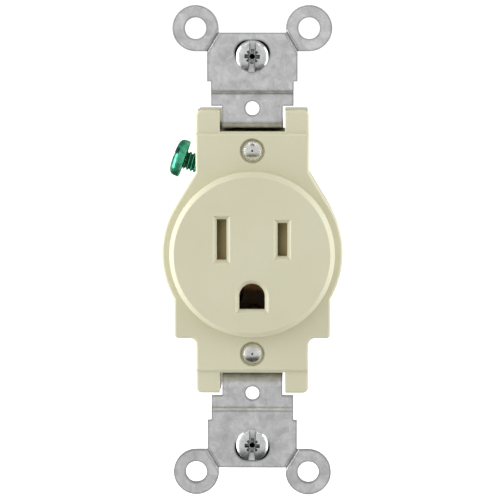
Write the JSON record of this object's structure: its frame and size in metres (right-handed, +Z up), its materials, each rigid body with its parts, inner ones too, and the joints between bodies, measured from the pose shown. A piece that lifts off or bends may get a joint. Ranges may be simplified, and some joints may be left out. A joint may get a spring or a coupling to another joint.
{
  "type": "single wall receptacle",
  "caption": "Narrow-body grounding wall receptacle: round raised face with shuttered blade slots and a ground hole, on a wrap-around steel strap with break-off ears.",
  "frame": {"origin": "midway between the two box screws, on the back plane of the strap's ears, which rests on the wall", "axes": "+X to the right seen from the front, +Y into the wall box, so the face looks along -Y, +Z up with the ground hole below the blade slots"},
  "size_m": [0.038, 0.0291, 0.1034],
  "materials": {
    "ivory_plastic": "ivory moulded, low gloss",
    "ivory_back_plastic": "ivory moulded, matte",
    "galvanised_steel": "hot-dip galvanised, mottled",
    "contact_brass": "plain rolled",
    "rivet_steel": "bright plated",
    "retainer_plastic": "moulded",
    "shutter_plastic": "moulded olive brown",
    "spring_steel": "drawn wire",
    "black_washer": "punched fibre",
    "zinc_screw": "bright zinc plate",
    "brass_screw": "bright",
    "green_screw": "green dyed plate"
  },
  "bodies": {
    "receptacle": {"front_cover": "ivory_plastic", "rear_body": "ivory_back_plastic", "mounting_strap": "galvanised_steel", "hot_contact": "contact_brass", "neutral_contact": "contact_brass", "ground_contact": "contact_brass", "ground_contact_rivet": "rivet_steel", "ground_terminal": "galvanised_steel", "cover_rivet_top": "rivet_steel", "cover_rivet_bottom": "rivet_steel", "shutter_retainer": "retainer_plastic", "shutter_spring": "spring_steel"},
    "shutter": {"shutter_slider": "shutter_plastic"},
    "washer_top": {"retaining_washer_top": "black_washer"},
    "washer_bottom": {"retaining_washer_bottom": "black_washer"},
    "box_screw_top": {"mounting_screw_top": "zinc_screw"},
    "box_screw_bottom": {"mounting_screw_bottom": "zinc_screw"},
    "hot_screw": {"hot_terminal_screw": "brass_screw"},
    "neutral_screw": {"neutral_terminal_screw": "zinc_screw"},
    "green_screw": {"ground_screw": "green_screw"}
  },
  "joints": [
    {"name": "shutter_slide", "type": "slide", "parent": "receptacle", "child": "shutter", "axis": [1, 0, 0], "range_m": [0, 0.003], "stiffness_N_per_m": 100, "springref_m": -0.005, "deforming": ["shutter_spring"]},
    {"name": "washer_top_shift", "type": "slide", "parent": "receptacle", "child": "washer_top", "axis": [1, 0, 0], "range_m": [-0.0016, 0.0016]},
    {"name": "washer_bottom_shift", "type": "slide", "parent": "receptacle", "child": "washer_bottom", "axis": [1, 0, 0], "range_m": [-0.0016, 0.0016]},
    {"name": "box_screw_top_turn", "type": "hinge", "parent": "washer_top", "child": "box_screw_top", "pos_m": [0, 0, 0.041], "axis": [0, 1, 0], "continuous": true},
    {"name": "box_screw_bottom_turn", "type": "hinge", "parent": "washer_bottom", "child": "box_screw_bottom", "pos_m": [0, 0, -0.041], "axis": [0, 1, 0], "continuous": true},
    {"name": "hot_screw_drive", "type": "slide", "parent": "receptacle", "child": "hot_screw", "axis": [-1, 0, 0], "range_m": [0, 0.0023]},
    {"name": "neutral_screw_drive", "type": "slide", "parent": "receptacle", "child": "neutral_screw", "axis": [1, 0, 0], "range_m": [0, 0.0023]},
    {"name": "ground_screw_drive", "type": "slide", "parent": "receptacle", "child": "green_screw", "axis": [0.9397, 0, -0.342], "range_m": [0, 0.0036]}
  ]
}
